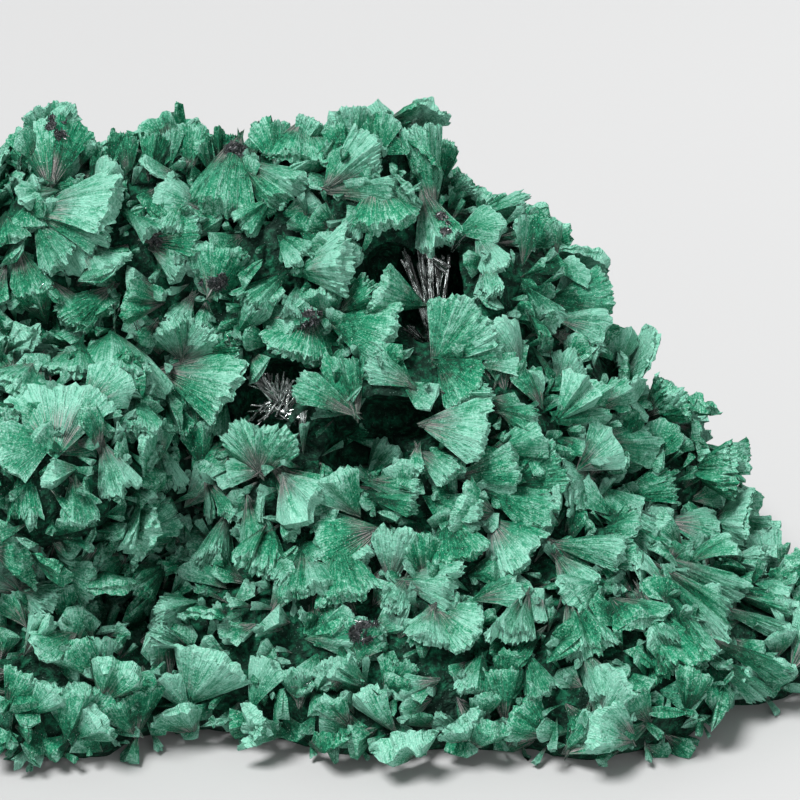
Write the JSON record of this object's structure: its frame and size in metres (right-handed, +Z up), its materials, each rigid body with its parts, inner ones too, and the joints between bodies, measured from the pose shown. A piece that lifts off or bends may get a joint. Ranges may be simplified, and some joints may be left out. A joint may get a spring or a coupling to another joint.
{
  "type": "malachite specimen",
  "caption": "Craggy malachite specimen covered with fan-shaped green crystal sheaves, with dark needles in its hollows and a flat cut underside to stand on.",
  "frame": {"origin": "in the flat cut underside, below the front of the middle of the mass", "axes": "+Z up from the cut underside; the side with the hollows looks towards -Y; +X runs to the low end of the ridge"},
  "size_m": [0.0724, 0.0433, 0.0385],
  "materials": {
    "sheaf_malachite": "velvety, finely ribbed",
    "needle_malachite": "glassy"
  },
  "bodies": {
    "root": {"malachite": "sheaf_malachite", "upper_hollow_needles": "needle_malachite", "left_hollow_needles": "needle_malachite"}
  },
  "joints": []
}
